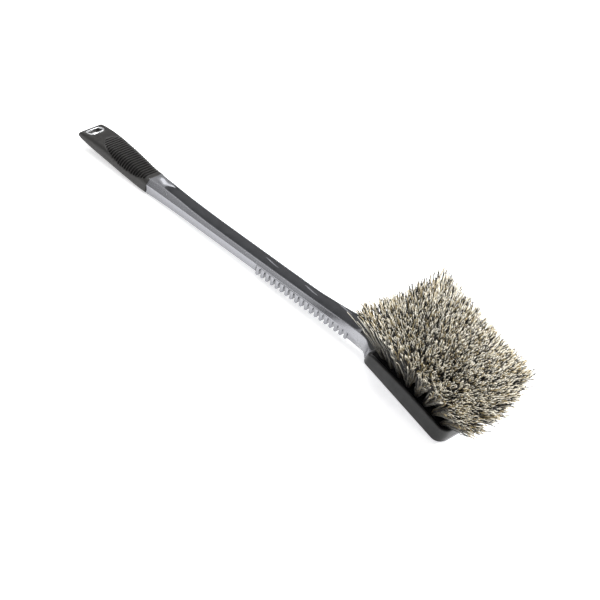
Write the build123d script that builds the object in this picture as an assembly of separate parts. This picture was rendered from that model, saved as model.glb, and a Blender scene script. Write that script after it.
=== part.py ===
from build123d import *
import os
from math import atan2, cos, degrees, radians, tan

# Long-handled wheel brush.  Millimetres.  The brush is drawn with its shaft level (X from the
# butt to the head, bristles towards +Z) and set down on its back at the end.

# ---- driving dimensions -------------------------------------------------------------------
grip_end = 94.0               # front face of the black grip sleeve
tang_start = 26.0             # the handle's tang ends here inside the sleeve
eyelet_x = 7.2                # centre of the hang slot
slot_width = 7.0              # hang slot along the handle
slot_length = 18.0            # hang slot across the handle
eyelet_wall = 1.4             # width of the silver ring
eyelet_top = 19.2             # the ring is let into the upper face
eyelet_bottom = 15.8
eyelet_round = 0.5

inlay_start = 112.0           # charcoal inlay in the top channel
inlay_end = 373.0
inlay_thickness = 2.2
inlay_drop = 0.4              # the inlay lies this much below the lips
lip_width = 1.1               # silver lip left beside the inlay
pad_centres = (251.0, 302.0, 341.0)
pad_length = 19.0
pad_width = 3.2
pad_rise = 0.5

tooth_count = 19              # comb along both lower edges
tooth_pitch = 6.35
tooth_width = 3.9
comb_start = 243.0
comb_face = 11.9              # half width over the teeth
comb_wall = 7.0               # half width of the wall behind them
comb_reach = 16.0             # half width that the recess is cut out to
tooth_top = 8.6
tooth_tip = -0.5
tooth_corner = 1.2

head_pitch = 15.5             # slope of the head plane, degrees
head_x = 405.7                # a point on the underside of the bumper
head_z = 16.4
bumper_start = -2.0           # bumper along the head plane, from that point
bumper_length = 106.0
bumper_width = 87.0
bumper_height = 16.5
far_corner = 10.0
neck_corner = 6.0
bumper_wall = 3.4
backing_inset = 1.5
block_height = 12.0
block_gap = 0.15

tuft_rows = 7
long_row = 8                  # tufts in rows 1, 3, 5 and 7; the rows between have one less
tuft_pitch = 11.5
row_pitch = 10.5
hole_radius = 2.5
hole_depth = 9.0
root_radius = 2.3
waist_radius = 2.6            # each tuft stays slim until it is clear of the bumper
waist_height = 17.0
tip_radius = 7.4
tip_height = 57.0             # above the underside of the bumper
dome_drop = 1.0               # how much lower the outer tips stand
splay_along = 1.62            # tip spacing over root spacing
splay_across = 1.64
corner_pull = 12.0            # the far corner on the +Y side stands back by this much
anchor_length = 4.4
anchor_height = 2.0
anchor_thickness = 0.5

screw_rows = (-22.0, 22.0)
screw_steps = (1, 6)
screw_head_radius = 3.3
screw_head_height = 2.0
screw_shank_radius = 1.6
screw_depth = 9.0
screw_seat = -2.2             # the head bears here, below the underside of the bumper
screw_pocket = 0.5            # room round the head
pilot_gap = 0.05
recess_length = 4.0           # cross recess in the head
recess_width = 0.9
recess_depth = 1.6
clearance = 0.2
far_above = 60.0              # long enough to cut right through

# x, half width, half height, corner radius, middle height of the grip sleeve
grip_stations = (
    (0.0, 15.6, 2.2, 1.6, 15.2),
    (6.0, 16.4, 3.8, 3.0, 15.1),
    (20.0, 16.6, 6.1, 4.8, 14.6),
    (44.0, 16.0, 8.5, 7.6, 12.8),
    (67.0, 14.9, 9.4, 8.4, 10.2),
    (84.0, 13.6, 9.1, 7.4, 8.2),
    (grip_end, 12.9, 8.6, 6.2, 7.7),
)

# x, then half width and height of the bottom edge, the ridge and the lip of the silver body
body_stations = (
    (grip_end, 10.4, 0.0, 12.5, 10.8, 8.6, 16.2),
    (104.0, 10.8, 0.9, 12.2, 10.8, 7.9, 16.2),
    (128.0, 10.6, 1.4, 11.6, 10.5, 7.4, 15.2),
    (152.0, 10.5, 1.5, 11.3, 10.3, 7.9, 13.9),
    (182.0, 10.5, 1.5, 11.3, 10.1, 8.2, 13.1),
    (300.0, 10.6, 1.3, 11.5, 10.0, 8.3, 12.9),
    (331.0, 10.8, 1.3, 11.9, 10.0, 9.4, 14.0),
    (352.0, 11.2, 1.3, 12.6, 10.2, 10.7, 15.2),
    (365.0, 11.5, 1.3, 13.2, 9.4, 11.4, 15.9),
    (377.0, 12.0, 1.0, 15.2, 7.6, 13.4, 17.2),
    (388.0, 12.0, 0.3, 21.5, 9.4, 18.6, 19.2),
    (396.0, 11.6, -0.3, 29.5, 13.0, 25.2, 19.4),
    (400.0, 11.5, -0.6, 34.5, 15.4, 29.5, 19.6),
    (404.0, 11.5, -1.0, 39.0, 16.6, 35.0, 19.6),
    (412.0, 11.9, -1.7, 41.0, 13.4, 37.0, 19.6),
)

# the same four columns under the head: bottom edge and outer edge of the backing
backing_stations = (
    (396.0, 11.6, -0.3, 36.0, 17.6),
    (430.0, 13.0, -3.6, 44.0, 8.7),
    (465.0, 19.0, -9.0, 44.0, -1.0),
    (512.0, 30.0, -16.4, 44.0, -14.1),
)

# x, half width and top of the black web that runs from the bumper up the neck
web_stations = (
    (inlay_end, 10.0, 15.9),
    (379.0, 13.0, 16.7),
    (388.0, 17.6, 18.0),
    (396.0, 23.8, 18.3),
    (404.0, 28.0, 18.3),
    (409.0, 29.0, 18.3),
)
web_thickness = 2.4
bridge = 1.8                  # silver bridge between the inlay and the web


# ---- helpers ------------------------------------------------------------------------------
def head_height(x):
    """Height of the bumper's underside at x."""
    return head_z - (x - head_x) * tan(radians(head_pitch))


def across(x):
    """Plane square to the shaft at x, with Y and Z as its axes."""
    return Plane(origin=(x, 0, 0), x_dir=(0, 1, 0), z_dir=(1, 0, 0))


def polygon_at(x, points):
    return across(x) * make_face(Polyline(*points, close=True))


def on_head(along, side, height):
    """Location on the head: along and across it, and above the bumper's underside."""
    return Location((head_x, 0, head_z), (0, head_pitch, 0)) * Location((along, side, height))


def head_outline(inset, bottom, height):
    """Rounded slab with the head's outline, inset all round."""
    sheet = Rectangle(bumper_length - 2 * inset, bumper_width - 2 * inset)
    sheet = fillet(sheet.vertices().sort_by(Axis.X)[-2:], far_corner - inset)
    sheet = fillet(sheet.vertices().sort_by(Axis.X)[:2], neck_corner - inset)
    return on_head(bumper_start + bumper_length / 2, 0, bottom) * extrude(sheet, height)


def stadium(length, width, bottom, top):
    slot = Rot(0, 0, 90) * SlotOverall(length, width)
    return Pos(eyelet_x, 0, bottom) * extrude(slot, top - bottom)


def blend(stations, x, column):
    """Straight-line value between the stations."""
    for low, high in zip(stations, stations[1:]):
        if low[0] <= x <= high[0]:
            share = (x - low[0]) / (high[0] - low[0])
            return low[column] + share * (high[column] - low[column])
    return stations[-1][column]


# ---- handle -------------------------------------------------------------------------------
def shaft_shell():
    faces = []
    for x, yb, zb, yr, zr, yl, zl in body_stations:
        points = ((-yb, zb), (yb, zb), (yr, zr), (yl, zl), (-yl, zl), (-yr, zr))
        faces.append(polygon_at(x, points))
    return loft(faces, ruled=True)


def backing_shell():
    faces = []
    for x, yb, zb, ye, ze in backing_stations:
        top = head_height(x)
        faces.append(polygon_at(x, ((-yb, zb), (yb, zb), (ye, ze), (ye, top), (-ye, top), (-ye, ze))))
    return loft(faces, ruled=True) & head_outline(backing_inset, -far_above, far_above)


def tang():
    rear = polygon_at(tang_start, ((-6, 12), (6, 12), (6, 16.4), (-6, 16.4)))
    front = polygon_at(grip_end, ((-8.5, 3), (8.5, 3), (8.5, 12.5), (-8.5, 12.5)))
    return loft([rear, front], ruled=True)


def lip_points(x, drop):
    half = blend(body_stations, x, 5) - lip_width
    top = blend(body_stations, x, 6)
    return ((-half, top - drop), (half, top - drop), (half, top + 4), (-half, top + 4))


def channel_places():
    inner = [s[0] for s in body_stations if inlay_start < s[0] < inlay_end]
    return [inlay_start] + inner + [inlay_end]


def channel_cut(drop):
    """Everything above the channel floor, between the lips."""
    return loft([polygon_at(x, lip_points(x, drop)) for x in channel_places()], ruled=True)


def comb_side(side):
    """Recess along one lower edge, with its teeth left standing."""
    length = tooth_count * tooth_pitch
    corner = (Align.MIN, Align.MIN, Align.MAX)
    recess = Box(length, comb_reach - comb_wall, tooth_top + 4, align=corner)
    recess = Pos(comb_start, comb_wall, tooth_top) * recess
    teeth = []
    for i in range(tooth_count):
        block = Box(tooth_width, comb_face - comb_wall, tooth_top - tooth_tip)
        block = fillet(block.edges().filter_by(Axis.Z).sort_by(Axis.Y)[-2:], tooth_corner)
        x = comb_start + (i + 0.5) * tooth_pitch
        teeth.append(Pos(x, (comb_face + comb_wall) / 2, (tooth_top + tooth_tip) / 2) * block)
    if side < 0:
        recess = mirror(recess, Plane.XZ)
        teeth = [mirror(t, Plane.XZ) for t in teeth]
    return recess, teeth


def pad(x, grow, height):
    slot = SlotOverall(pad_length + 2 * grow, pad_width + 2 * grow)
    top = blend(body_stations, x, 6)
    base = top - inlay_thickness
    return Pos(x, 0, base) * extrude(slot, height)


def web_slab(low, high):
    """The web's plan shape between two levels, measured from its top face."""
    faces = []
    for x, half, top in web_stations:
        x = max(x, inlay_end + bridge)
        points = ((-half, top + low), (half, top + low), (half, top + high), (-half, top + high))
        faces.append(polygon_at(x, points))
    return loft(faces, ruled=True)


def handle_body():
    body = shaft_shell() + tang()
    for side in (-1, 1):
        recess, teeth = comb_side(side)
        body = body - recess
        for tooth in teeth:
            body = body + tooth
    body = body - channel_cut(inlay_thickness)
    for x in pad_centres:
        body = body + pad(x, 0, inlay_thickness + pad_rise)
    body = body - head_outline(0, 0, far_above) + backing_shell()
    body = body - web_slab(-web_thickness, 3)
    for along, side in screw_places():
        hole = extrude(Circle(screw_shank_radius + clearance), far_above + 1)
        pocket = extrude(Circle(screw_head_radius + screw_pocket), far_above + screw_seat)
        body = body - on_head(along, side, -far_above) * hole
        body = body - on_head(along, side, -far_above) * pocket
    return body


def channel_inlay():
    strip = channel_cut(inlay_thickness) - channel_cut(inlay_drop)
    for x in pad_centres:
        strip = strip - pad(x, clearance, inlay_thickness + 4)
    return strip


# ---- grip ---------------------------------------------------------------------------------
def grip_sleeve():
    faces = []
    for x, half_width, half_height, corner, middle in grip_stations:
        shape = RectangleRounded(2 * half_width, 2 * half_height, corner)
        faces.append(across(x) * Pos(0, middle, 0) * shape)
    outer = loft(faces, ruled=True)
    seat = stadium(slot_length + 2 * eyelet_wall, slot_width + 2 * eyelet_wall, eyelet_bottom, far_above)
    return outer - tang() - seat - stadium(slot_length, slot_width, 0, far_above)


def hang_eyelet():
    ring = stadium(slot_length + 2 * eyelet_wall, slot_width + 2 * eyelet_wall, eyelet_bottom, eyelet_top)
    ring = ring - stadium(slot_length, slot_width, 0, far_above)
    rims = ring.edges().filter_by_position(Axis.Z, eyelet_top - 0.01, eyelet_top + 0.01)
    return fillet(rims, eyelet_round)


# ---- head ---------------------------------------------------------------------------------
def head_bumper():
    wall = head_outline(0, 0, bumper_height) + web_slab(-web_thickness, 0)
    return wall - head_outline(bumper_wall, -far_above / 2, far_above)


def tuft_places(row):
    """Root places of one row, along and across the head."""
    count = long_row if row % 2 == 0 else long_row - 1
    side = (row - (tuft_rows - 1) / 2) * row_pitch
    middle = bumper_start + bumper_length / 2
    return [(middle + (i - (count - 1) / 2) * tuft_pitch, side) for i in range(count)]


def screw_places():
    first = tuft_places(0)[0][0]
    return [(first + step * tuft_pitch, side) for side in screw_rows for step in screw_steps]


def tuft_block():
    block = head_outline(bumper_wall + block_gap, 0, block_height)
    holes = []
    for row in range(tuft_rows):
        for along, side in tuft_places(row):
            drill = extrude(Circle(hole_radius), hole_depth + 1)
            holes.append(on_head(along, side, block_height - hole_depth) * drill)
    for along, side in screw_places():
        pilot = extrude(Circle(screw_shank_radius + pilot_gap), screw_depth + 1)
        holes.append(on_head(along, side, -1) * pilot)
    return block - holes


def tuft_tip(along, side):
    """Where the fan of one tuft ends: along, across and above the head."""
    middle = bumper_start + bumper_length / 2
    u = (along - middle) / ((long_row - 1) / 2 * tuft_pitch)
    v = side / ((tuft_rows - 1) / 2 * row_pitch)
    pull = corner_pull * max(u, 0) * max(v, 0)
    tip_along = middle + (along - middle) * splay_along - pull
    return tip_along, side * splay_across, tip_height - dome_drop * (u * u + v * v)


def tuft(along, side):
    """One tuft: its root in the block and the fan of bristles above it."""
    root_bottom = block_height - hole_depth + anchor_height
    sheets = [Pos(along, side, root_bottom) * Circle(root_radius)]
    sheets.append(Pos(along, side, block_height) * Circle(root_radius))
    sheets.append(Pos(along, side, waist_height) * Circle(waist_radius))
    sheets.append(Pos(*tuft_tip(along, side)) * Circle(tip_radius))
    return on_head(0, 0, 0) * loft(sheets, ruled=True)


def tuft_row(row):
    return [tuft(along, side) for along, side in tuft_places(row)]


def anchor_row(row):
    bar = Box(anchor_length, anchor_thickness, anchor_height, align=(Align.CENTER, Align.CENTER, Align.MIN))
    return [on_head(along, side, block_height - hole_depth) * bar for along, side in tuft_places(row)]


def block_screws():
    screws = []
    for along, side in screw_places():
        shank = extrude(Circle(screw_shank_radius), screw_depth - screw_seat)
        head = Pos(0, 0, -screw_head_height) * extrude(Circle(screw_head_radius), screw_head_height)
        bars = Box(recess_length, recess_width, recess_depth) + Box(recess_width, recess_length, recess_depth)
        cross = Pos(0, 0, -screw_head_height) * bars
        screws.append(on_head(along, side, screw_seat) * (shank + head - cross))
    return screws


# ---- set down and write -------------------------------------------------------------------
def solids_of(shape):
    if isinstance(shape, list):
        return [s for item in shape for s in item.solids()]
    return list(shape.solids())


def main():
    parts = {
        "handle_body": handle_body(),
        "channel_inlay": channel_inlay(),
        "grip_sleeve": grip_sleeve(),
        "hang_eyelet": hang_eyelet(),
        "head_bumper": head_bumper(),
        "tuft_block": tuft_block(),
        "block_screws": block_screws(),
    }
    for row in range(tuft_rows):
        parts["tuft_row_%d" % (row + 1)] = tuft_row(row)
        parts["anchor_row_%d" % (row + 1)] = anchor_row(row)

    # on its back the brush touches with the grip's belly and the far end of the backing
    grip_x, grip_low = grip_stations[-2][0], grip_stations[-2][4] - grip_stations[-2][2]
    far_x = head_x + (bumper_start + bumper_length - backing_inset) * cos(radians(head_pitch))
    far_low = blend([(s[0], s[2]) for s in backing_stations], far_x, 1)
    lean = degrees(atan2(grip_low - far_low, far_x - grip_x))
    turned = {name: [Rot(0, -lean, 0) * s for s in solids_of(shape)] for name, shape in parts.items()}

    boxes = [s.bounding_box() for solids in turned.values() for s in solids]
    middle_x = (min(b.min.X for b in boxes) + max(b.max.X for b in boxes)) / 2
    floor_z = min(b.min.Z for b in boxes)
    os.makedirs("parts", exist_ok=True)
    for name, solids in turned.items():
        placed = [Pos(-middle_x, 0, -floor_z) * s for s in solids]
        export_step(placed[0] if len(placed) == 1 else Compound(children=placed), "parts/%s.step" % name)
    print("lean", round(lean, 3), "shift", round(middle_x, 3), round(floor_z, 3))
    top_z = max(b.max.Z for b in boxes) - floor_z
    print("box", round(min(b.min.Y for b in boxes), 1), round(max(b.max.Y for b in boxes), 1), round(top_z, 1))


main()
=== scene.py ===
import math

import bmesh
import bpy
import numpy as np
from mathutils import Matrix, Vector


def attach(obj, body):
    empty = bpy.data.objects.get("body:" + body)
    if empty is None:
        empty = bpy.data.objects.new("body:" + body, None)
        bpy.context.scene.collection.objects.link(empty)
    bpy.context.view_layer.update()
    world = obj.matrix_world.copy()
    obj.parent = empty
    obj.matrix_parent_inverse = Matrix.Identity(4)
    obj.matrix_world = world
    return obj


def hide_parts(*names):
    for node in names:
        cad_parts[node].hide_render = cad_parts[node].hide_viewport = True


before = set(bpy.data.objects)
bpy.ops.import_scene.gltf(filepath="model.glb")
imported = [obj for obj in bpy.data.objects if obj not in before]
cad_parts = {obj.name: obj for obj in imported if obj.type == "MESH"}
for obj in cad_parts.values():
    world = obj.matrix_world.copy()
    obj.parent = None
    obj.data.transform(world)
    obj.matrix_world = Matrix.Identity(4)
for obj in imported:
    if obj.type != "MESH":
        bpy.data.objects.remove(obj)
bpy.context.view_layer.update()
print("frame loaded")

# Shapes are drawn in millimetres with the shaft level: x from the butt to the head, y across,
# z towards the bristles. toRow turns that into the row frame, where the brush lies on its back.
mm = 0.001
lying = {"lean": 1.95, "slideX": 268.787, "dropZ": 1.959}

head = {
    "pitch": 15.5,         # slope of the head plane, degrees
    "x": 405.7,            # a point on the underside of the bumper
    "z": 16.4,
    "start": -2.0,         # the outline along the head, from that point
    "length": 106.0,
    "width": 87.0,
    "farCorner": 10.0,
    "neckCorner": 6.0,
    "rimHeight": 16.5,
    "blockHeight": 12.0,
}


def toRow(point):
    lean = math.radians(lying["lean"])
    x, y, z = point
    rowX = x * math.cos(lean) - z * math.sin(lean) - lying["slideX"]
    rowZ = x * math.sin(lean) + z * math.cos(lean) - lying["dropZ"]
    return (rowX * mm, y * mm, rowZ * mm)


def onHead(along, side, height):
    pitch = math.radians(head["pitch"])
    x = head["x"] + along * math.cos(pitch) + height * math.sin(pitch)
    z = head["z"] - along * math.sin(pitch) + height * math.cos(pitch)
    return (x, side, z)


def headPlane(x):
    return head["z"] - (x - head["x"]) * math.tan(math.radians(head["pitch"]))


def curveThrough(table):
    # smooth curve through rows of (x, value, value ...) that never overshoots them
    rows = np.array(table, float)
    places, values = rows[:, 0], rows[:, 1:]
    slopes = np.diff(values, axis=0) / np.diff(places)[:, None]
    tangents = np.vstack([slopes[:1], np.zeros_like(slopes[1:]), slopes[-1:]])
    for i in range(1, len(places) - 1):
        before, after = slopes[i - 1], slopes[i]
        same = before * after > 0
        total = np.where(same, before + after, 1.0)
        tangents[i] = np.where(same, 2 * before * after / total, 0.0)

    def at(x):
        i = int(np.clip(np.searchsorted(places, x) - 1, 0, len(places) - 2))
        span = places[i + 1] - places[i]
        u = min(max((x - places[i]) / span, 0.0), 1.0)
        straight = values[i] + (values[i + 1] - values[i]) * u * u * (3 - 2 * u)
        early = tangents[i] * u * (1 - u) ** 2 * span
        late = tangents[i + 1] * u * u * (u - 1) * span
        return straight + early + late

    return at


def smooth(low, high, value):
    u = min(max((value - low) / (high - low), 0.0), 1.0)
    return u * u * (3 - 2 * u)


def roundCorners(points, radii, steps=4):
    # open polyline whose inner corners become arcs of that radius, steps + 1 points each
    result = [points[0]]
    for i in range(1, len(points) - 1):
        corner = np.array(points[i], float)
        back = np.array(points[i - 1], float) - corner
        ahead = np.array(points[i + 1], float) - corner
        backLength = max(np.linalg.norm(back), 1e-6)
        aheadLength = max(np.linalg.norm(ahead), 1e-6)
        back, ahead = back / backLength, ahead / aheadLength
        turn = math.acos(float(np.clip(-(back @ ahead), -1, 1)))
        reach = radii[i - 1] * math.tan(turn / 2)
        reach = min(reach, 0.45 * backLength, 0.45 * aheadLength)
        for k in range(steps + 1):
            u = k / steps
            spot = corner + back * reach * (1 - u) ** 2 + ahead * reach * u ** 2
            result.append((float(spot[0]), float(spot[1])))
    result.append(points[-1])
    return result


def skin(sections):
    # quads between equally long loops of points, with both ends capped
    count = len(sections[0])
    points = [p for section in sections for p in section]
    faces = []
    for i in range(len(sections) - 1):
        for j in range(count):
            a = i * count + j
            b = i * count + (j + 1) % count
            faces.append((a, b, b + count, a + count))
    faces.append(tuple(range(count)))
    last = (len(sections) - 1) * count
    faces.append(tuple(range(last, last + count)))
    return points, faces


def makePiece(name, points, faces, material, sharpAngle=38):
    mesh = bpy.data.meshes.new(name)
    mesh.from_pydata([toRow(p) for p in points], [], faces)
    shape = bmesh.new()
    shape.from_mesh(mesh)
    bmesh.ops.remove_doubles(shape, verts=shape.verts, dist=1e-6)
    bmesh.ops.dissolve_degenerate(shape, edges=shape.edges, dist=1e-6)
    bmesh.ops.recalc_face_normals(shape, faces=shape.faces)
    shape.to_mesh(mesh)
    shape.free()
    mesh.materials.append(material)
    mesh.shade_smooth()
    mesh.set_sharp_from_angle(angle=math.radians(sharpAngle))
    piece = bpy.data.objects.new(name, mesh)
    bpy.context.scene.collection.objects.link(piece)
    return piece


def combine(piece, tools, operation, sharpAngle=38):
    # cuts the tools away from the piece, or adds them to it, and throws the tools away
    for tool in tools:
        change = piece.modifiers.new("change", "BOOLEAN")
        change.operation = operation
        change.solver = "EXACT"
        change.object = tool
    view = bpy.context.evaluated_depsgraph_get()
    mesh = bpy.data.meshes.new_from_object(piece.evaluated_get(view))
    piece.modifiers.clear()
    mesh.validate()
    piece.data = mesh
    mesh.shade_smooth()
    mesh.set_sharp_from_angle(angle=math.radians(sharpAngle))
    for tool in tools:
        bpy.data.objects.remove(tool)
    return piece


def addToFrame(piece, slotName, *nodes):
    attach(piece, "root")
    if nodes:
        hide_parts(*nodes)
    print("made", piece.name, len(piece.data.polygons), "faces")
    return piece


def startMaterial(name, color, roughness):
    material = bpy.data.materials.new(name)
    material.use_nodes = True
    shader = material.node_tree.nodes["Principled BSDF"]
    shader.inputs["Base Color"].default_value = (*color, 1)
    shader.inputs["Roughness"].default_value = roughness
    return material, material.node_tree, shader


def addNoise(tree, size, detail=3.0, stretch=(1, 1, 1)):
    # noise whose blobs are about size millimetres across
    place = tree.nodes.new("ShaderNodeTexCoord")
    scale = tree.nodes.new("ShaderNodeMapping")
    scale.inputs["Scale"].default_value = stretch
    noise = tree.nodes.new("ShaderNodeTexNoise")
    noise.inputs["Scale"].default_value = 1 / (size * mm)
    noise.inputs["Detail"].default_value = detail
    tree.links.new(place.outputs["Object"], scale.inputs["Vector"])
    tree.links.new(scale.outputs["Vector"], noise.inputs["Vector"])
    return noise.outputs["Fac"]


def addRamp(tree, factor, stops):
    ramp = tree.nodes.new("ShaderNodeValToRGB")
    while len(ramp.color_ramp.elements) < len(stops):
        ramp.color_ramp.elements.new(0.5)
    for element, (position, color) in zip(ramp.color_ramp.elements, stops):
        element.position = position
        element.color = (*color, 1)
    tree.links.new(factor, ramp.inputs["Fac"])
    return ramp.outputs["Color"]


def addBump(tree, shader, height, depth, under=None):
    bump = tree.nodes.new("ShaderNodeBump")
    bump.inputs["Strength"].default_value = 1.0
    bump.inputs["Distance"].default_value = depth * mm
    tree.links.new(height, bump.inputs["Height"])
    if under is not None:
        tree.links.new(under, bump.inputs["Normal"])
    tree.links.new(bump.outputs["Normal"], shader.inputs["Normal"])
    return bump.outputs["Normal"]


def varyColor(tree, shader, size, dark, light):
    color = addRamp(tree, addNoise(tree, size), [(0.35, dark), (0.65, light)])
    tree.links.new(color, shader.inputs["Base Color"])


def varyRoughness(tree, shader, size, low, high):
    rough = addRamp(tree, addNoise(tree, size, 4), [(0.3, (low,) * 3), (0.7, (high,) * 3)])
    tree.links.new(rough, shader.inputs["Roughness"])


# Patch sizes and bump depths are in millimetres. A bump is its size, detail, stretch and depth.
finishes = {
    "silverPlastic": {           # metal-flake silver moulding under a satin skin
        "metallic": 0.8, "coat": 0.25, "coatRoughness": 0.12,
        "grain": 0.5, "dark": (0.255, 0.258, 0.276), "light": (0.28, 0.283, 0.302),
        "patch": 6, "gloss": (0.2, 0.28),
        "bumps": ((26, 2, (0.4, 1, 1), 0.12), (0.6, 2, (1, 1, 1), 0.0015)),
    },
    "charcoalPlastic": {         # smooth dark strip, a little blue, with faint drag lines along it
        "specular": 0.6,
        "grain": 9, "dark": (0.0095, 0.01, 0.0125), "light": (0.016, 0.0168, 0.02),
        "patch": 4, "gloss": (0.18, 0.26),
        "bumps": ((1.4, 3, (0.06, 1, 1), 0.02), (0.5, 2, (1, 1, 1), 0.008)),
    },
    "gripRubber": {              # warm black rubber with a fine spark-eroded grain
        "specular": 0.45,
        "grain": 5, "dark": (0.011, 0.0102, 0.0095), "light": (0.019, 0.0175, 0.0163),
        "patch": 3, "gloss": (0.42, 0.56),
        "bumps": ((0.35, 4, (1, 1, 1), 0.05),),
    },
    "grooveShadeRubber": {            # the same rubber deep between the ribs: duller there, and darker as painted shade
        "specular": 0.12,
        "grain": 5, "dark": (0.003, 0.0028, 0.0025), "light": (0.006, 0.0055, 0.005),
        "patch": 3, "gloss": (0.7, 0.85),
        "bumps": ((0.35, 4, (1, 1, 1), 0.05),),
    },
    "brightSilver": {            # the ring round the hang slot
        "metallic": 0.85, "light": (0.8, 0.81, 0.83),
        "patch": 2, "gloss": (0.22, 0.32),
        "bumps": ((1.2, 3, (1, 1, 1), 0.01),),
    },
    "bumperRubber": {            # denser, smoother rubber than the grip, with dull scuffs
        "specular": 0.38,
        "grain": 12, "dark": (0.008, 0.008, 0.0083), "light": (0.014, 0.014, 0.0145),
        "patch": 5, "gloss": (0.34, 0.46),
        "bumps": ((9, 2, (1, 1, 1), 0.06), (0.3, 3, (1, 1, 1), 0.02)),
    },
    "glossBlack": {              # the drilled block
        "grain": 8, "dark": (0.01, 0.01, 0.011), "light": (0.017, 0.017, 0.018),
        "patch": 3, "gloss": (0.12, 0.24),
        "bumps": ((2.5, 2, (1, 1, 1), 0.02),),
    },
    "screwSteel": {
        "metallic": 1.0,
        "grain": 0.8, "dark": (0.48, 0.48, 0.488), "light": (0.6, 0.6, 0.61),
        "patch": 0.6, "gloss": (0.23, 0.37),
        "bumps": ((0.3, 3, (1, 1, 1), 0.01),),
    },
    "anchorWire": {
        "metallic": 1.0,
        "grain": 0.8, "dark": (0.52, 0.512, 0.496), "light": (0.65, 0.64, 0.62),
        "patch": 0.6, "gloss": (0.28, 0.42),
        "bumps": ((0.3, 3, (1, 1, 1), 0.01),),
    },
}

finishSockets = {
    "metallic": "Metallic",
    "specular": "Specular IOR Level",
    "coat": "Coat Weight",
    "coatRoughness": "Coat Roughness",
}


def makeFinish(name):
    values = finishes[name]
    material, tree, shader = startMaterial(name, values["light"], values["gloss"][0])
    for key, socket in finishSockets.items():
        if key in values:
            shader.inputs[socket].default_value = values[key]
    if "grain" in values:
        varyColor(tree, shader, values["grain"], values["dark"], values["light"])
    varyRoughness(tree, shader, values["patch"], *values["gloss"])
    under = None
    for size, detail, stretch, depth in values["bumps"]:
        under = addBump(tree, shader, addNoise(tree, size, detail, stretch), depth, under)
    return material


# painted shade: each bristle's colour darkens from its tip to its root, standing in for the shade deep
# among the bristles; a stop is a place along it and what is left there
paintedBristleShade = ((0.74, 0.1), (0.92, 0.3), (0.99, 1.0))


def filament(name, dark, light, roughness):
    # drawn filament, whose colour drifts from one bristle to the next and is darkened towards its root
    # with painted shade
    material, tree, shader = startMaterial(name, light, roughness)
    shader.inputs["Specular IOR Level"].default_value = 0.4
    own = addRamp(tree, addNoise(tree, 1.6), [(0.38, dark), (0.6, light)])
    reach = tree.nodes.new("ShaderNodeAttribute")
    reach.attribute_name = "reach"
    # the painted shade along the bristle, read from the reach attribute
    depth = addRamp(tree, reach.outputs["Fac"], [(place, (left,) * 3) for place, left in paintedBristleShade])
    mix = tree.nodes.new("ShaderNodeMix")
    mix.data_type = "RGBA"
    mix.blend_type = "MULTIPLY"
    mix.inputs["Factor"].default_value = 1
    tree.links.new(own, mix.inputs["A"])
    tree.links.new(depth, mix.inputs["B"])
    tree.links.new(mix.outputs["Result"], shader.inputs["Base Color"])
    varyRoughness(tree, shader, 2, roughness - 0.08, roughness + 0.08)
    addBump(tree, shader, addNoise(tree, 0.4, 2), 0.02)
    return material


silver = makeFinish("silverPlastic")
charcoal = makeFinish("charcoalPlastic")
gripBlack = makeFinish("gripRubber")
grooveShadeBlack = makeFinish("grooveShadeRubber")
ringSilver = makeFinish("brightSilver")
bumperBlack = makeFinish("bumperRubber")
blockBlack = makeFinish("glossBlack")
screwSteel = makeFinish("screwSteel")
anchorWire = makeFinish("anchorWire")
creamBristle = filament("creamBristle", (0.74, 0.66, 0.49), (0.98, 0.95, 0.86), 0.34)
tanBristle = filament("tanBristle", (0.24, 0.18, 0.08), (0.55, 0.45, 0.26), 0.4)
blackBristle = filament("blackBristle", (0.003, 0.0026, 0.0022), (0.012, 0.01, 0.008), 0.5)
print("materials made")


# the camera looks at the target; light places and sizes are in metres
studio = {
    "lens": 156.0,
    "distance": 2.4732,
    "azimuth": 31.19,
    "elevation": 35.77,
    "roll": 18.125,
    "target": (0.02546, 0.0, 0.00459),
    "roomLight": 0.7,
    "roomBright": 1.6,
    "roomDim": 0.2,
    "dimBand": (0.1, 0.16, 0.24, 0.95),   # the room is dim between the middle two heights
    "keyPlace": (0.85, 0.95, 1.25),
    "keyAim": (0.05, 0.0, 0.03),
    "keySize": (0.9, 0.9),
    "keyPower": 38.0,
    "topPlace": (-0.2, 0.1, 1.5),
    "topAim": (0.0, 0.0, 0.0),
    "topSize": (1.6, 1.2),
    "topPower": 12.0,
    "floorHalf": 4.0,
    "floorGlow": 0.58,
}


def placeCamera():
    azimuth, elevation = math.radians(studio["azimuth"]), math.radians(studio["elevation"])
    back = Vector((
        math.sin(azimuth) * math.cos(elevation),
        -math.cos(azimuth) * math.cos(elevation),
        math.sin(elevation),
    ))
    right = Vector((math.cos(azimuth), math.sin(azimuth), 0))
    up = back.cross(right)
    roll = math.radians(studio["roll"])
    turnedRight = right * math.cos(roll) + up * math.sin(roll)
    turnedUp = up * math.cos(roll) - right * math.sin(roll)
    camera = bpy.data.objects.new("camera", bpy.data.cameras.new("camera"))
    bpy.context.scene.collection.objects.link(camera)
    camera.data.lens = studio["lens"]
    camera.data.clip_end = 50
    place = Vector(studio["target"]) + back * studio["distance"]
    axes = Matrix((turnedRight, turnedUp, back)).transposed()
    camera.matrix_world = Matrix.Translation(place) @ axes.to_4x4()
    bpy.context.scene.camera = camera


def softBox(name):
    place, aim = Vector(studio[name + "Place"]), Vector(studio[name + "Aim"])
    light = bpy.data.lights.new(name + "Light", "AREA")
    light.shape = "RECTANGLE"
    light.size, light.size_y = studio[name + "Size"]
    light.energy = studio[name + "Power"]
    lamp = bpy.data.objects.new(name + "Light", light)
    lamp.location = place
    lamp.rotation_mode = "QUATERNION"
    lamp.rotation_quaternion = (aim - place).to_track_quat("-Z", "Y")
    bpy.context.scene.collection.objects.link(lamp)


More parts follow.
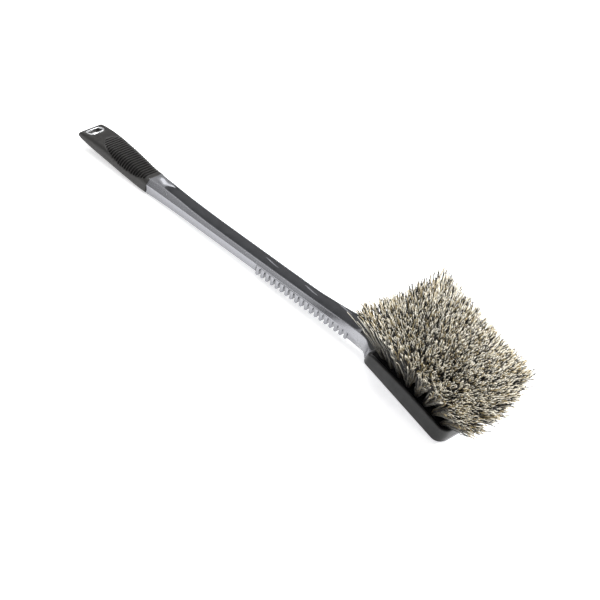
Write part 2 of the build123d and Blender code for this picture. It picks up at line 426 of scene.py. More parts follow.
def setStage():
    # a wide pale sweep at the level that the brush lies on
    material, tree, shader = startMaterial("paleFloor", (0.93, 0.93, 0.93), 0.7)
    shader.inputs["Specular IOR Level"].default_value = 0.2
    varyColor(tree, shader, 300, (0.925, 0.925, 0.925), (0.94, 0.94, 0.94))
    shader.inputs["Emission Color"].default_value = (1, 1, 1, 1)
    shader.inputs["Emission Strength"].default_value = studio["floorGlow"]
    half = studio["floorHalf"]
    mesh = bpy.data.meshes.new("floor")
    corners = [(-half, -half, 0), (half, -half, 0), (half, half, 0), (-half, half, 0)]
    mesh.from_pydata(corners, [], [(0, 1, 2, 3)])
    mesh.materials.append(material)
    floor = bpy.data.objects.new("floor", mesh)
    bpy.context.scene.collection.objects.link(floor)

    world = bpy.data.worlds.new("studio")
    bpy.context.scene.world = world
    world.use_nodes = True
    tree = world.node_tree
    sky = tree.nodes["Background"]
    sky.inputs["Strength"].default_value = studio["roomLight"]
    place = tree.nodes.new("ShaderNodeTexCoord")
    split = tree.nodes.new("ShaderNodeSeparateXYZ")
    tree.links.new(place.outputs["Generated"], split.inputs[0])
    bright, dim = (studio["roomBright"],) * 3, (studio["roomDim"],) * 3
    glow = addRamp(tree, split.outputs["Z"], list(zip(studio["dimBand"], (bright, dim, dim, bright))))
    tree.links.new(glow, sky.inputs["Color"])
    softBox("key")
    softBox("top")
    bpy.context.scene.view_settings.view_transform = "Standard"


placeCamera()
setStage()
print("camera, floor and lights placed")


# the silver moulding: shaft, channel, comb, neck and the backing under the head
handle = {
    "start": 90.0,               # hidden inside the grip
    "scoopStart": 95.5,          # the channel opens here as a spoon-shaped dish
    "scoopLength": 23.0,
    "inlayStart": 108.0,         # its tip grows out of the dish from here
    "inlayFull": 124.0,
    "inlayEnd": 373.0,
    "inlayTail": 7.0,            # length of its rounded end
    "bridge": 1.8,               # silver bridge between the inlay and the black web
    "inlayDepth": 2.2,
    "webDepth": 2.2,
    "closed": 0.5,               # half width where the channel is shut
    "lip": 1.1,
    "rounding": (1.4, 0.5, 0.45, 0.3),   # foot, ridge, lip and channel edge
    "neckEnd": 404.0,            # where the neck meets the end of the bumper
    "neckHalf": 37.0,            # the backing is at least this wide up to neckBlend
    "neckBlend": 430.0,
    "backingInset": 1.5,
    "toothCount": 19,
    "toothPitch": 6.35,
    "toothWidth": 3.9,
    "combStart": 243.0,
    "toothTop": 8.6,
    "toothTip": -0.5,
    "toothFace": 11.9,           # half width over the teeth
    "recessWall": 7.0,
    "recessFoot": 4.4,           # the core's lower edge stands this high behind the tongues
    "recessOuter": 17.0,
    "screwRadius": 3.8,
    "screwDepth": 2.2,           # the pockets end this far under the head plane
    "screwPlaces": ((22.25, -22), (22.25, 22), (79.75, -22), (79.75, 22)),
}

# x, then half width and height of the bottom edge, the ridge and the lip
shaftCurve = curveThrough((
    (80, 10.4, 0.0, 12.5, 10.8, 8.6, 16.2),
    (94, 10.4, 0.0, 12.5, 10.8, 8.6, 16.2),
    (104, 10.8, 0.9, 12.2, 10.8, 7.9, 16.2),
    (128, 10.6, 1.4, 11.6, 10.5, 7.4, 15.2),
    (152, 10.5, 1.5, 11.3, 10.3, 7.9, 13.9),
    (182, 10.5, 1.5, 11.3, 10.1, 8.2, 13.1),
    (300, 10.6, 1.3, 11.5, 10.0, 8.3, 12.9),
    (331, 10.8, 1.3, 11.9, 10.0, 9.4, 14.0),
    (352, 11.2, 1.3, 12.6, 10.2, 10.7, 15.2),
    (365, 11.5, 1.3, 13.2, 9.4, 11.4, 15.9),
    (377, 12.0, 1.0, 15.2, 7.6, 13.4, 17.2),
    (388, 12.0, 0.3, 21.5, 9.4, 18.4, 19.2),
    (396, 11.6, -0.3, 29.5, 13.0, 24.6, 19.4),
    (400, 11.5, -0.6, 34.5, 15.2, 28.2, 19.6),
    (404, 11.5, -1.0, 39.0, 16.8, 32.0, 19.6),
    (430, 13.0, -3.6, 43.0, 8.8, 42.5, 9.6),
    (465, 19.0, -9.0, 43.0, -1.0, 42.5, -0.1),
    (512, 30.0, -16.4, 43.0, -14.2, 42.5, -13.2),
))

# x, half width and top of the black web that runs from the bumper up the neck
webCurve = curveThrough((
    (373, 10.2, 15.9),
    (379, 13.0, 16.7),
    (388, 17.6, 18.0),
    (396, 23.8, 18.3),
    (404, 28.0, 18.2),
))


def outlineHalf(along, inset):
    # half width of the head's rounded outline at a place along it
    half = head["width"] / 2 - inset
    fromStart = along - head["start"] - inset
    fromEnd = head["start"] + head["length"] - inset - along
    corner = head["neckCorner" if fromStart < fromEnd else "farCorner"] - inset
    near = max(min(fromStart, fromEnd), 0.0)
    if near >= corner:
        return half
    return half - corner + math.sqrt(max(corner ** 2 - (corner - near) ** 2, 0.0))


def channelAt(x):
    # half width of the open channel and how deep its floor lies below the lip
    lipHalf, lipTop = shaftCurve(x)[4:6]
    width = lipHalf - handle["lip"]
    shut, full = handle["closed"], handle["inlayDepth"]
    start, end, tail = handle["scoopStart"], handle["inlayEnd"], handle["inlayTail"]
    opening = handle["scoopLength"]
    if x <= start:
        return shut, 0.0
    if x < start + opening:
        u = (x - start) / opening
        deep = full * (1 + 0.45 * math.sin(math.pi * u)) * smooth(0, 0.5, u)
        return max(width * math.sqrt(1 - (1 - u) ** 2.4), shut), deep
    if x <= end:
        u = max((x - end + tail) / tail, 0.0)
        return max(width * math.sqrt(max(1 - u * u, 0.0)), shut), full
    if x < end + handle["bridge"]:
        return shut, 0.0
    if x < handle["neckEnd"]:
        half, top = webCurve(x)
        return half, lipTop - top + handle["webDepth"]
    return shut, 0.0


# where the channel floor has its points, as shares of its half width
floorShares = (0.985, 0.95, 0.9, 0.82, 0.72, 0.6, 0.45, 0.3, 0.15, 0.0)


def bowl(x, share):
    # how deep the channel floor is at a share of its half width: a dish at the grip, flat further on
    flat = smooth(handle["scoopStart"] + 10, handle["scoopStart"] + 26, x)
    if x > handle["inlayEnd"]:
        flat = 1.0
    dish = (1 - share ** 2.2) ** 0.8
    return dish + (1 - dish) * flat


def handleSection(x):
    # half widths and heights of the foot, the ridge and the lip, then the channel floor
    footHalf, footTop, ridgeHalf, ridgeTop, lipHalf, lipTop = shaftCurve(x)
    if x > handle["neckEnd"]:
        along = (x - head["x"]) / math.cos(math.radians(head["pitch"]))
        limit = outlineHalf(along, handle["backingInset"])
        if x < handle["neckBlend"]:
            limit = max(limit, handle["neckHalf"])
        ridgeHalf, lipHalf = min(ridgeHalf, limit), min(lipHalf, limit - 0.4)
        footHalf = min(footHalf, limit - 3)
        lipTop = headPlane(x) - 0.05
        ridgeTop = min(ridgeTop, lipTop - 0.7)
    width, depth = channelAt(x)
    width = min(width, lipHalf - 0.4)
    floor = [(share * width, lipTop - depth * bowl(x, share)) for share in floorShares]
    half = [(0.0, footTop), (footHalf, footTop), (ridgeHalf, ridgeTop), (lipHalf, lipTop)]
    half = roundCorners(half + [(width, lipTop), floor[0]], handle["rounding"], 4) + floor[1:]
    return [(x, y, z) for y, z in half] + [(x, -y, z) for y, z in reversed(half[1:-1])]


def spaced(low, high, step):
    count = max(int(round((high - low) / step)), 1)
    return [low + (high - low) * i / count for i in range(count)]


def handlePlaces():
    # where the sections stand, closer together where the shape turns quickly
    start, end, tail = handle["scoopStart"], handle["inlayEnd"], handle["inlayTail"]
    opening, bridge, neckEnd = handle["scoopLength"], handle["bridge"], handle["neckEnd"]
    hair = 0.02
    places = spaced(handle["start"], start, 1.0)
    places += [start + opening * (1 - math.cos(u)) for u in spaced(0, math.pi / 2, 0.05)]
    places += spaced(start + opening, end - tail, 1.5)
    places += [end - tail + tail * math.sin(u) for u in spaced(0, math.pi / 2, 0.1)]
    places += [end, end + hair, end + bridge, end + bridge + hair]
    places += spaced(end + bridge + 0.5, neckEnd, 0.8)
    places += [neckEnd, neckEnd + hair]
    backing = head["start"] + head["length"] - handle["backingInset"]
    last = head["x"] + backing * math.cos(math.radians(head["pitch"]))
    corner = head["farCorner"] - handle["backingInset"]
    places += spaced(neckEnd + 1, last - corner, 1.5)
    places += [last - corner + corner * math.sin(u) for u in spaced(0, math.pi / 2, 0.09)]
    return places + [last]


def combRecess(side):
    low, high, top = handle["recessWall"], handle["recessOuter"], handle["toothTop"]
    start = handle["combStart"]
    corners = [(3, -6), (high, -6), (high, top), (low, top), (low, handle["recessFoot"]), (3, 1.25)]
    loops = []
    for x in (start, start + handle["toothCount"] * handle["toothPitch"]):
        loops.append([(x, side * y, z) for y, z in corners])
    return makePiece("recess", *skin(loops), silver)


def screwPocket(along, side):
    radius, steps = handle["screwRadius"], 32
    loops = []
    for height in (-40, -handle["screwDepth"]):
        loop = []
        for k in range(steps):
            a = k * math.tau / steps
            loop.append(onHead(along + radius * math.cos(a), side + radius * math.sin(a), height))
        loops.append(loop)
    return makePiece("pocket", *skin(loops), silver)


def buildHandle():
    body = makePiece("silverHandle", *skin([handleSection(x) for x in handlePlaces()]), silver)
    tools = [combRecess(side) for side in (-1, 1)]
    tools += [screwPocket(along, side) for along, side in handle["screwPlaces"]]
    combine(body, tools, "DIFFERENCE")
    combine(body, [combStrip(-1), combStrip(1)], "UNION", 32)
    addToFrame(body, "silver_plastic", "handle_body")


def combStrip(side):
    # one closed outline with all the tongues of one edge, set out from the recess wall
    pitch, half = handle["toothPitch"], handle["toothWidth"] / 2
    blend = pitch / 2 - half     # round top of each gap
    top, tip = handle["toothTop"], handle["toothTip"]
    outline = []
    for i in range(handle["toothCount"]):
        middle = handle["combStart"] + (i + 0.5) * pitch
        for k in range(5):
            a = math.pi / 2 * k / 4
            outline.append((middle - pitch / 2 + blend * math.sin(a), top - blend * (1 - math.cos(a))))
        for k in range(1, 10):
            a = math.pi * k / 10
            outline.append((middle - half * math.cos(a), tip + half - half * math.sin(a)))
        for k in range(4):
            a = math.pi / 2 * (1 - k / 4)
            outline.append((middle + pitch / 2 - blend * math.sin(a), top - blend * (1 - math.cos(a))))
    last = handle["combStart"] + handle["toothCount"] * pitch
    outline += [(last, top), (last, top + 0.8), (handle["combStart"], top + 0.8)]
    ring = np.array(outline)
    ahead = np.roll(ring, -1, axis=0) - np.roll(ring, 1, axis=0)
    inward = np.stack([-ahead[:, 1], ahead[:, 0]], axis=1)
    inward /= np.linalg.norm(inward, axis=1)[:, None]
    wall, face = handle["recessWall"], handle["toothFace"]
    loops = []
    for inset, y in ((0.0, wall - 0.3), (0.0, face - 0.45), (0.13, face - 0.13), (0.45, face)):
        moved = ring + inward * inset
        loops.append([(float(x), side * y, float(z)) for x, z in moved])
    return makePiece("comb", *skin(loops), silver)


buildHandle()


# the charcoal inlay, with three slim raised lozenges of the silver handle
inlay = {
    "sunk": 0.35,                # below the lips
    "dish": 0.9,                 # the middle lies this much lower than the edges
    "gap": 0.08,
    "endGap": 0.1,
    "edgeDrop": 0.25,
    "padPlaces": ((251.0, 2.3), (302.0, 2.6), (341.0, 7.4)),
    "padLength": 19.0,
    "padWidth": 1.5,
    "padShape": ((1.0, -0.6), (1.0, 0.0), (0.93, 0.22), (0.7, 0.35), (0.35, 0.35)),   # width, rise
}


def inlayTop(x, y):
    lipTop = shaftCurve(x)[5]
    width = max(channelAt(x)[0], 1.0)
    return lipTop - inlay["sunk"] - inlay["dish"] * (1 - min(abs(y) / width, 1.0) ** 2)


def inlaySection(x):
    start, full = handle["inlayStart"], handle["inlayFull"]
    channel, depth = channelAt(x)
    width = channel
    if x < full:
        width *= math.sqrt(max(1 - ((full - x) / (full - start)) ** 2, 0.002))
    width = max(width - inlay["gap"], 0.2)
    lipTop = shaftCurve(x)[5]
    feather = smooth(start, full, x)
    top, bottom = [], []
    for s in range(-8, 9):
        y = width * s / 8
        floor = lipTop - depth * bowl(x, min(abs(y) / channel, floorShares[0])) + 0.02
        level = inlayTop(x, y) - (inlay["edgeDrop"] if abs(s) == 8 else 0.0)
        top.append((x, y, floor + max((level - floor) * feather, 0.04)))
        bottom.append((x, y, floor))
    return top + bottom[::-1]


def buildInlay():
    start, full, end = handle["inlayStart"], handle["inlayFull"], handle["inlayEnd"]
    reach, tail, gap = full - start, handle["inlayTail"], inlay["endGap"]
    places = [start + reach * (1 - math.cos(u)) for u in spaced(0, math.pi / 2, 0.08)]
    places += spaced(full, end - tail, 1.5)
    places += [end - tail + (tail - gap) * math.sin(u) for u in spaced(0, math.pi / 2, 0.12)]
    places += [end - gap]
    strip = makePiece("charcoalInlay", *skin([inlaySection(x) for x in places]), charcoal)
    addToFrame(strip, "charcoal_plastic", "channel_inlay")

    points, faces = [], []
    for x, y in inlay["padPlaces"]:
        padPoints, padFaces = slimPad(x, y)
        faces += [tuple(v + len(points) for v in face) for face in padFaces]
        points += padPoints
    pads = makePiece("channelMarks", points, faces, silver)
    addToFrame(pads, "silver_plastic")


def slimPad(x, y):
    # a long soft lozenge that stands a little proud of the inlay
    count, bend = 40, 0.9
    loops = []
    for share, rise in inlay["padShape"]:
        loop = []
        for i in range(count):
            a = math.tau * i / count
            px = x + inlay["padLength"] / 2 * math.cos(a) * (0.9 + 0.1 * share)
            py = y + inlay["padWidth"] / 2 * math.sin(a) * share - bend * math.sin(1.6 * math.cos(a))
            loop.append((px, py, inlayTop(px, py) + rise))
        loops.append(loop)
    return skin(loops)


buildInlay()


# the grip sleeve: flat butt with a dished hang slot, and a rib panel over the top and sides
grip = {
    "end": 94.0,
    "around": 120,               # points round the section
    "ribPitch": 2.9,
    "ribFirst": 28.4,
    "ribDepth": 1.7,
    "grooveLine": 0.5,           # below this share of the depth the rubber is dull and painted darker as shade
    "panelMiddle": 62.0,         # the rib panel is an oval, cut off square before the front edge
    "panelReach": 37.0,
    "panelFront": 89.8,
    "panelSide": 0.46,           # how far down the side it goes, as a share of half the way round
    "eyeletX": 7.2,
    "slotLength": 18.0,
    "slotWidth": 7.0,
    "slotPlay": 0.25,            # the hole in the rubber is this much larger
    "ringWall": 1.7,
    "ringHeight": 1.1,
    "ringCrown": 0.5,
    "ringSunk": 0.1,
    "dish": 0.7,
    "dishInner": 1.2,            # the dish runs out between these distances from the slot
    "dishOuter": 4.6,
    "edge": 0.45,                # how far in from its ends the rubber starts to round over
    "frontTuck": 0.5,
    "buttBow": 0.3,
}

# x, half width, half height, corner radius, middle height
gripCurve = curveThrough((
    (0, 16.0, 1.9, 1.2, 15.3),
    (6, 16.4, 3.7, 2.6, 15.1),
    (20, 16.6, 6.1, 4.8, 14.6),
    (44, 16.0, 8.5, 7.6, 12.8),
    (67, 14.9, 9.4, 8.4, 10.2),
    (84, 13.6, 9.1, 7.4, 8.2),
    (94, 12.9, 8.6, 6.2, 7.7),
))


def fromSlot(x, y):
    # distance outside the oval hang slot, in plan
    straight = (grip["slotLength"] - grip["slotWidth"]) / 2
    beyond = max(abs(y) - straight, 0.0)
    return math.hypot(x - grip["eyeletX"], beyond) - grip["slotWidth"] / 2


def gripSection(x):
    halfWidth, halfHeight, corner, middle = gripCurve(x)
    edge = grip["edge"]
    if x < edge:
        tuck = edge * (1 - math.sqrt(max(1 - (1 - x / edge) ** 2, 0.0)))
        halfWidth, halfHeight, corner = halfWidth - tuck, halfHeight - tuck, max(corner - tuck, 0.5)
    if x > grip["end"] - edge:
        beyond = (x - grip["end"] + edge) / edge
        tuck = grip["frontTuck"] * (1 - math.sqrt(max(1 - beyond ** 2, 0.0)))
        halfWidth, halfHeight = halfWidth - tuck, halfHeight - tuck
    corner = min(corner, halfHeight * 0.98)

    # walk round the rounded rectangle from the middle of the top, by length
    flatTop, flatSide = halfWidth - corner, halfHeight - corner
    arc = math.pi / 2 * corner
    quarter = flatTop + arc + flatSide
    loop = []
    for i in range(grip["around"]):
        turn = (i + 0.5) / grip["around"] * 4
        side = 1 if turn < 2 else -1
        way = (turn if turn < 2 else 4 - turn) * quarter
        upper = way <= quarter
        step = way if upper else 2 * quarter - way
        if step < flatTop:
            y, z, ny, nz = step, halfHeight, 0.0, 1.0
        elif step < flatTop + arc:
            a = (step - flatTop) / corner
            ny, nz = math.sin(a), math.cos(a)
            y, z = flatTop + corner * ny, flatSide + corner * nz
        else:
            y, z, ny, nz = halfWidth, flatSide - (step - flatTop - arc), 1.0, 0.0
        if not upper:
            z, nz = -z, -nz
        share = way / (2 * quarter)
        offset = ribOffset(x, share)
        if upper:
            near = smooth(grip["dishOuter"], grip["dishInner"], fromSlot(x, y))
            offset -= grip["dish"] * near * smooth(0.0, 0.5, nz)
        y, z = y + ny * offset, z + nz * offset
        bow = grip["buttBow"] * (y / 16) ** 2 * smooth(12, 0, x)
        loop.append((x + bow, side * y, middle + z))
    return loop


def panelShare(x, share):
    # 1 inside the rib panel and 0 outside it
    u = (x - grip["panelMiddle"]) / grip["panelReach"]
    v = share / grip["panelSide"]
    return smooth(1.05, 0.93, u * u + v * v) * smooth(grip["panelFront"], grip["panelFront"] - 0.6, x)


def ribOffset(x, share):
    wave = 0.5 + 0.5 * math.cos(math.tau * (x - grip["ribFirst"]) / grip["ribPitch"])
    return -grip["ribDepth"] * panelShare(x, share) * (1.03 - wave ** 3.5)


def ovalLoop(grow, steps=14):
    # the slot's outline, grown outwards, as points in plan
    radius = grip["slotWidth"] / 2 + grow
    straight = (grip["slotLength"] - grip["slotWidth"]) / 2
    loop = []
    for end in (1, -1):
        for k in range(steps + 1):
            a = math.pi * k / steps
            x = grip["eyeletX"] + end * radius * math.cos(a)
            loop.append((x, end * (straight + radius * math.sin(a))))
    return loop


def buildGrip():
    places = [0.0, 0.05, 0.16, 0.3, 0.45, 0.9] + spaced(1.5, 24, 0.7)
    places += spaced(24, 91, grip["ribPitch"] / 12)
    places += spaced(91, 93, 0.5) + [93.0, 93.3, 93.6, 93.85, 94.0]
    sleeve = makePiece("gripSleeve", *skin([gripSection(x) for x in places]), gripBlack, 50)
    sleeve.data.materials.append(grooveShadeBlack)
    around = grip["around"]
    for i in range(len(places) - 1):
        x = (places[i] + places[i + 1]) / 2
        for j in range(around):
            turn = (j + 1) / around * 4
            share = min(turn, 4 - turn) / 2
            # faces deep in a groove take the duller rubber whose darker colour is painted shade
            if ribOffset(x, share) < -grip["grooveLine"] * grip["ribDepth"]:
                sleeve.data.polygons[i * around + j].material_index = 1
    loops = [[(x, y, z) for x, y in ovalLoop(grip["slotPlay"])] for z in (0, 40)]
    hole = makePiece("hole", *skin(loops), gripBlack)
    combine(sleeve, [hole], "DIFFERENCE", 50)
    addToFrame(sleeve, "grip_rubber", "grip_sleeve")


def buildRing():
    # the silver ring is let into the upper face and follows its slope
    wall, under = grip["ringWall"], -grip["ringHeight"]
    profile = []
    for k in range(9):
        a = math.pi * k / 8
        rise = grip["ringCrown"] * math.sin(a) - grip["ringSunk"]
        profile.append((wall / 2 - wall / 2 * math.cos(a), rise))
    loops = []
    for grow, rise in profile + [(wall, under), (0.0, under)]:
        loop = []
        for x, y in ovalLoop(grow):
            halfHeight, middle = gripCurve(x)[1], gripCurve(x)[3]
            loop.append((x, y, middle + halfHeight - grip["dish"] + rise))
        loops.append(loop)
    points, faces = skin(loops + [loops[0]])
    ring = makePiece("hangEyelet", points, faces[:-2], ringSilver, 60)
    addToFrame(ring, "eyelet_silver", "hang_eyelet")


buildGrip()
buildRing()


# the rubber bumper round the head, with its web up the neck
bumper = {
    "wall": 3.4,
    "lip": 1.6,                  # how round the upper edge is
    "foot": 1.0,
    "bulge": 0.28,
    "neckDip": 6.0,              # how much lower the rim stands at the neck
    "dipLength": 12.0,
    "webStart": 0.15,            # gap after the silver bridge
    "webEnd": 405.0,
    "webGap": 0.12,
    "webSunk": 0.3,
    "webCrown": 0.35,
    "webEdge": 0.3,              # the web's edges are dropped by this much
    "webUnder": 2.1,
}


def headLoop(inset, height, steps=14):
    # rounded rectangle on the head, as points in the shaft frame; high loops dip at the neck end
    middle = head["start"] + head["length"] / 2
    loop = []
    for quarter, (sx, sy) in enumerate(((1, 1), (-1, 1), (-1, -1), (1, -1))):
        outer = head["farCorner" if sx > 0 else "neckCorner"]
        corner = max(outer - inset, 0.6)
        for k in range(steps + 1):
            a = math.pi / 2 * (quarter + k / steps)
            along = middle + sx * (head["length"] / 2 - inset - corner) + corner * math.cos(a)
            side = sy * (head["width"] / 2 - inset - corner) + corner * math.sin(a)
            nearNeck = smooth(head["start"] + bumper["dipLength"], head["start"], along)
            dip = bumper["neckDip"] * nearNeck * height / head["rimHeight"]
            loop.append(onHead(along, side, height - dip))
        if sx == sy:
            loop.append(onHead(middle, side, height))
    return loop


def buildBumper():
    tall, wall = head["rimHeight"], bumper["wall"]
    lip, foot = bumper["lip"], bumper["foot"]
    profile = [(wall, 0.0), (foot, 0.0)]
    profile += [(foot - foot * math.sin(a), foot - foot * math.cos(a)) for a in (0.5, 1.0)]
    for k in range(9):
        u = k / 8
        height = foot + (tall - lip - foot) * u
        profile.append((-bumper["bulge"] * math.sin(math.pi * u), height))
    for k in range(1, 8):
        a = math.pi * k / 8
        profile.append((wall / 2 - wall / 2 * math.cos(a), tall - lip + lip * math.sin(a)))
    profile += [(wall, tall - lip), (wall + 0.3, tall - 3.6)]
    profile += [(wall, head["blockHeight"] - 0.2), (wall, 5.0)]
    loops = [headLoop(inset, height) for inset, height in profile]
    points, faces = skin(loops + [loops[0]])
    rim = makePiece("headBumper", points, faces[:-2], bumperBlack, 50)
    combine(rim, [neckWeb()], "UNION", 50)
    addToFrame(rim, "bumper_rubber", "head_bumper")


def neckWeb():
    first = handle["inlayEnd"] + handle["bridge"] + bumper["webStart"]
    loops = []
    for x in spaced(first, bumper["webEnd"], 1.2) + [bumper["webEnd"]]:
        half, top = webCurve(x)
        half -= bumper["webGap"]
        rise = smooth(first, first + 1.5, x)
        upper, lower = [], []
        for s in range(-8, 9):
            y = half * s / 8
            crown = bumper["webCrown"] * (1 - (s / 8) ** 2)
            edge = bumper["webEdge"] if abs(s) == 8 else 0.0
            upper.append((x, y, top - bumper["webSunk"] + crown * rise - edge))
            lower.append((x, y, top - bumper["webUnder"]))
        loops.append(upper + lower[::-1])
    return makePiece("web", *skin(loops), bumperBlack)


buildBumper()


# block, screws and anchors keep their CAD shape
cadFinishes = {"tuft_block": blockBlack, "block_screws": screwSteel}
for row in range(1, 8):
    cadFinishes["anchor_row_%d" % row] = anchorWire
for nodeName, material in cadFinishes.items():
    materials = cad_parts[nodeName].data.materials
    materials.clear()
    materials.append(material)
print("CAD pieces finished")


# the bristles: loose crimped filaments that flare from each hole
bristles = {
    "rows": 7,
    "longRow": 8,                # tufts in rows 1, 3, 5 and 7; the rows between have one less
    "tuftPitch": 11.5,
    "rowPitch": 10.5,
    "perTuft": 180,
    "rootRadius": 2.15,
    "tipReach": 10.0,            # half the square patch that one tuft spreads over
    "tipHeight": 58.5,           # above the underside of the bumper
    "domeDrop": 0.5,
    "splayAlong": 1.66,
    "splayAcross": 1.64,
    "sweep": 5.0,                # the fan leans this much sideways towards the far end
    "cornerPull": 18.0,          # the far corner on one side stands back by this much
    "thickness": (0.6, 1.0),
    "tipTaper": 0.72,
    "outerShade": 0.6,           # outer tufts are open to the light this far down, so less of their length gets the painted shade
    "shortShare": 0.1,
    "shortBy": (3.0, 12.0),
    "rootDepth": 2.5,            # how far down in the block they start
    "crimp": 0.5,
    "tipCurl": 2.2,
    "curlLimit": 8.0,
    "segments": 9,
    "cream": 0.45,
    "tan": 0.15,                 # the rest is black
    "strays": 0.012,             # share of loose hairs that wander out of their tuft
    "seed": 41,
}


def tuftPlaces(row):
    count = bristles["longRow"] if row % 2 == 0 else bristles["longRow"] - 1
    side = (row - (bristles["rows"] - 1) / 2) * bristles["rowPitch"]
    middle = head["start"] + head["length"] / 2
    return [(middle + (i - (count - 1) / 2) * bristles["tuftPitch"], side) for i in range(count)]


def filamentPaths(draw, along, side, count):
    # centre lines of one tuft, as (count, rings, 3) places on the head
    middle = head["start"] + head["length"] / 2
    reachAlong = (bristles["longRow"] - 1) / 2 * bristles["tuftPitch"]
    reachAcross = (bristles["rows"] - 1) / 2 * bristles["rowPitch"]
    u, v = (along - middle) / reachAlong, side / reachAcross

    patch = draw.uniform(-1, 1, (count, 2))
    widest = np.abs(patch).max(axis=1)
    disc = patch * (widest / np.maximum(np.linalg.norm(patch, axis=1), 1e-6))[:, None]
    root = disc * bristles["rootRadius"]
    tip = (patch * 0.7 + disc * 0.3) * bristles["tipReach"] + draw.normal(0, 1.4, (count, 2))
    # a short row fans out at its ends, to stand level with its longer neighbours
    gap = reachAlong - abs(along - middle)
    if 0 < gap < bristles["tuftPitch"] * 0.75:
        outward = math.copysign(1, along - middle)
        tip[:, 0] += outward * np.maximum(outward * patch[:, 0], 0) * gap * bristles["splayAlong"]
    pull = bristles["cornerPull"] * max(u, 0) * max(v, 0)
    push = bristles["sweep"] * (max(u, 0) * max(-v, 0) - 1.2 * max(-u, 0) * max(-v, 0))
    tip[:, 0] += (along - middle) * (bristles["splayAlong"] - 1) - pull + push
    tip[:, 1] += side * (bristles["splayAcross"] - 1) + bristles["sweep"] * max(-u, 0) * max(v, 0)

    height = bristles["tipHeight"] - bristles["domeDrop"] * (u * u + v * v) + draw.normal(0, 1.0, count)
    height -= 1.2 * widest ** 3 + 3 * max(-u, 0) * max(-v, 0)
    short = draw.uniform(0, 1, count) < bristles["shortShare"]
    height -= np.where(short, draw.uniform(*bristles["shortBy"], count), 0)

    base = head["blockHeight"] - bristles["rootDepth"]
    rings = bristles["segments"] + 1
    t = np.linspace(0, 1, rings)[None, :, None]
    bend = t ** 1.18
    lateral = root[:, None, :] * (1 - bend) + tip[:, None, :] * bend
    wander = draw.normal(0, bristles["crimp"], (count, rings, 2))
    wander[:, :2] *= 0.25
    loose = draw.uniform(0, 1, (count, 1, 1)) < bristles["strays"]
    curl = draw.normal(0, bristles["tipCurl"], (count, 1, 2)) * np.where(loose, 3.0, 1.0)
    hook = np.clip(curl, -bristles["curlLimit"], bristles["curlLimit"]) * t ** 8
    lateral = lateral + wander + hook
    path = np.empty((count, rings, 3))
    path[:, :, 0] = along + lateral[:, :, 0]
    path[:, :, 1] = side + lateral[:, :, 1]
    path[:, :, 2] = base + (height - base)[:, None] * t[:, :, 0]
    return path


def headToRow(places):
    # the same turn as onHead and toRow, for a whole array of points
    pitch, lean = math.radians(head["pitch"]), math.radians(lying["lean"])
    along, side, height = places[..., 0], places[..., 1], places[..., 2]
    x = head["x"] + along * math.cos(pitch) + height * math.sin(pitch)
    z = head["z"] - along * math.sin(pitch) + height * math.cos(pitch)
    rowX = x * math.cos(lean) - z * math.sin(lean) - lying["slideX"]
    rowZ = x * math.sin(lean) + z * math.cos(lean) - lying["dropZ"]
    return np.stack([rowX, side, rowZ], axis=-1) * mm


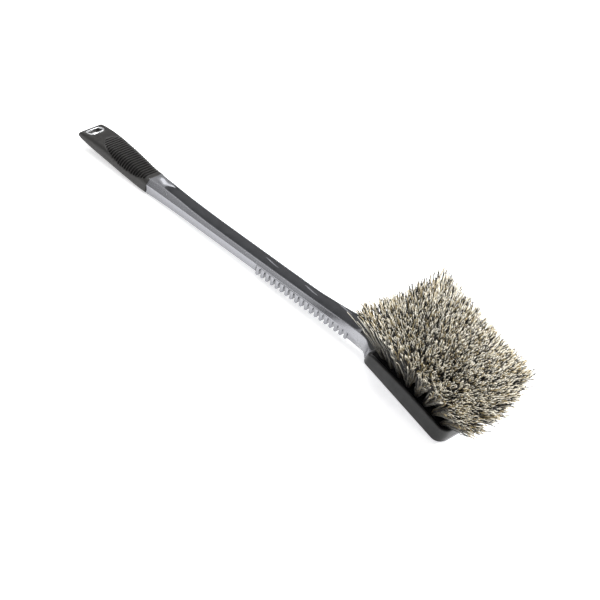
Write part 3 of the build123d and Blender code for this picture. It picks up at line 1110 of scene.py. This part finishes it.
def filamentMesh(name, paths, thickness, kinds, openness):
    # four-sided strands with a cut end, all in one mesh
    count, rings, _ = paths.shape
    spine = headToRow(paths)
    course = spine[:, -1] - spine[:, 0]
    course /= np.linalg.norm(course, axis=1)[:, None]
    across = np.cross(course, np.array([0.31, 0.95, 0.05]))
    across /= np.linalg.norm(across, axis=1)[:, None]
    upright = np.cross(course, across)
    taper = np.ones(rings)
    taper[-1] = bristles["tipTaper"]
    half = (thickness / 2 * mm)[:, None] * taper[None, :]
    corners = []
    for a, b in ((1, 0), (0, 1), (-1, 0), (0, -1)):
        corners.append(spine + (across * a + upright * b)[:, None, :] * half[:, :, None])
    points = np.stack(corners, axis=2).reshape(-1, 3)

    strand = []
    for ring in range(rings - 1):
        for k in range(4):
            a, b = ring * 4 + k, ring * 4 + (k + 1) % 4
            strand.append((a, b, b + 4, a + 4))
    last = (rings - 1) * 4
    strand.append((last, last + 1, last + 2, last + 3))
    strand = np.array(strand)
    faces = (strand[None] + (np.arange(count) * rings * 4)[:, None, None]).reshape(-1, 4)

    mesh = bpy.data.meshes.new(name)
    mesh.vertices.add(len(points))
    mesh.vertices.foreach_set("co", points.astype(np.float32).ravel())
    mesh.loops.add(faces.size)
    mesh.loops.foreach_set("vertex_index", faces.astype(np.int32).ravel())
    mesh.polygons.add(len(faces))
    mesh.polygons.foreach_set("loop_start", np.arange(0, faces.size, 4, dtype=np.int32))
    mesh.polygons.foreach_set("material_index", np.repeat(kinds, len(strand)).astype(np.int32))
    # reach runs from root to tip and sets how much painted shade each ring gets
    reach = openness[:, None] + (1 - openness[:, None]) * np.linspace(0, 1, rings)[None, :]
    lit = mesh.attributes.new("reach", "FLOAT", "POINT")
    lit.data.foreach_set("value", np.repeat(reach.ravel(), 4).astype(np.float32))
    mesh.update(calc_edges=True)
    mesh.validate()
    for material in (creamBristle, tanBristle, blackBristle):
        mesh.materials.append(material)
    mesh.shade_smooth()
    piece = bpy.data.objects.new(name, mesh)
    bpy.context.scene.collection.objects.link(piece)
    return piece


def pickKinds(draw, count):
    share = draw.uniform(0, 1, count)
    cream, tan = bristles["cream"], bristles["tan"]
    return np.where(share < cream, 0, np.where(share < cream + tan, 1, 2))


def buildBristles():
    count = bristles["perTuft"]
    for row in range(bristles["rows"]):
        draw = np.random.default_rng(bristles["seed"] + row)
        places = tuftPlaces(row)
        paths = np.concatenate([filamentPaths(draw, along, side, count) for along, side in places])
        thickness = draw.uniform(*bristles["thickness"], len(paths))
        kinds = pickKinds(draw, len(paths))
        # outer tufts start further along reach, so their painted shade is lighter
        openness = np.zeros(len(places))
        openness[[0, -1]] = bristles["outerShade"]
        if row in (0, bristles["rows"] - 1):
            openness[:] = bristles["outerShade"]
        name = "bristleRow%d" % (row + 1)
        piece = filamentMesh(name, paths, thickness, kinds, np.repeat(openness, count))
        addToFrame(piece, "bristle", "tuft_row_%d" % (row + 1))


buildBristles()
